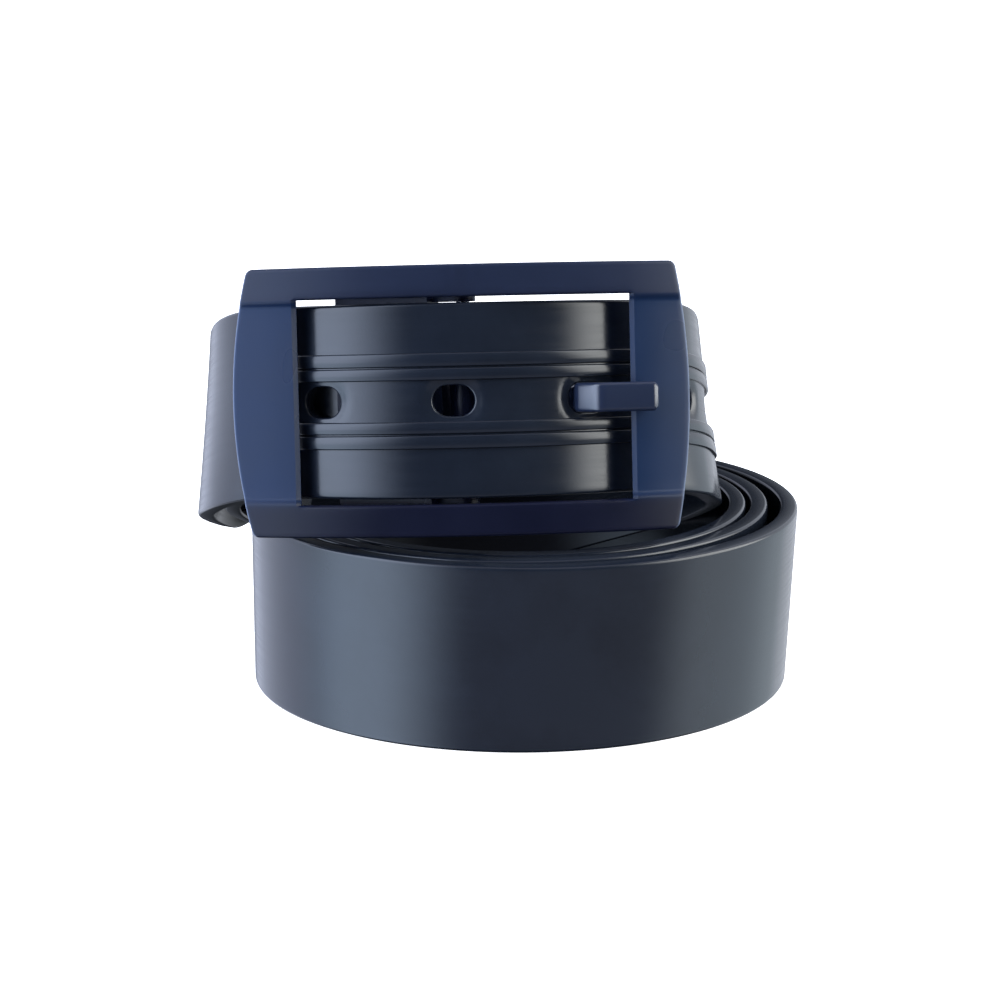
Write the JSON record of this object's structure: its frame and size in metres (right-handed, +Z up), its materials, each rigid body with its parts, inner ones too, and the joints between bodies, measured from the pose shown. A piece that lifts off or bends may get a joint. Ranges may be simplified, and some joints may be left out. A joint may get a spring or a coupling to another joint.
{
  "type": "rubber belt with pin buckle",
  "caption": "Coiled elastomer belt with ribbed, punched free end, closed by a translucent plastic centre-bar frame buckle with a swinging prong and a toothed end clamp.",
  "frame": {"origin": "on the floor, under the middle of the coiled belt's outside box", "axes": "+Z up, -Y the side the buckle faces, +X to the right seen from the buckle's side"},
  "size_m": [0.1174, 0.1016, 0.0873],
  "materials": {
    "strap_rubber": "dark navy elastomer, satin skin with fine mould grain and soft highlights",
    "frosted_plastic": "translucent frosted dark blue plastic, lightly scuffed along its edges",
    "pin_steel": "plain drawn stainless steel wire"
  },
  "bodies": {
    "belt": {"strap": "strap_rubber", "clamp_housing": "frosted_plastic", "lever_pin": "pin_steel"},
    "buckle": {"buckle_frame": "frosted_plastic", "hinge_pin": "pin_steel"},
    "tongue": {"prong": "frosted_plastic"},
    "lever": {"clamp_lever": "frosted_plastic"}
  },
  "joints": [
    {"name": "frame_swing", "type": "hinge", "parent": "belt", "child": "buckle", "pos_m": [-0.00543, -0.03378, 0.06176], "axis": [-0.0223, 0.1908, 0.9814], "range_deg": [-2, 4]},
    {"name": "prong_lift", "type": "hinge", "parent": "buckle", "child": "tongue", "pos_m": [-0.00543, -0.03378, 0.06176], "axis": [0.0223, -0.1908, -0.9814], "range_deg": [0, 2.5]},
    {"name": "lever_open", "type": "hinge", "parent": "belt", "child": "lever", "pos_m": [-0.01507, -0.028, 0.06042], "axis": [0.0223, -0.1908, -0.9814], "range_deg": [0, 100]}
  ]
}
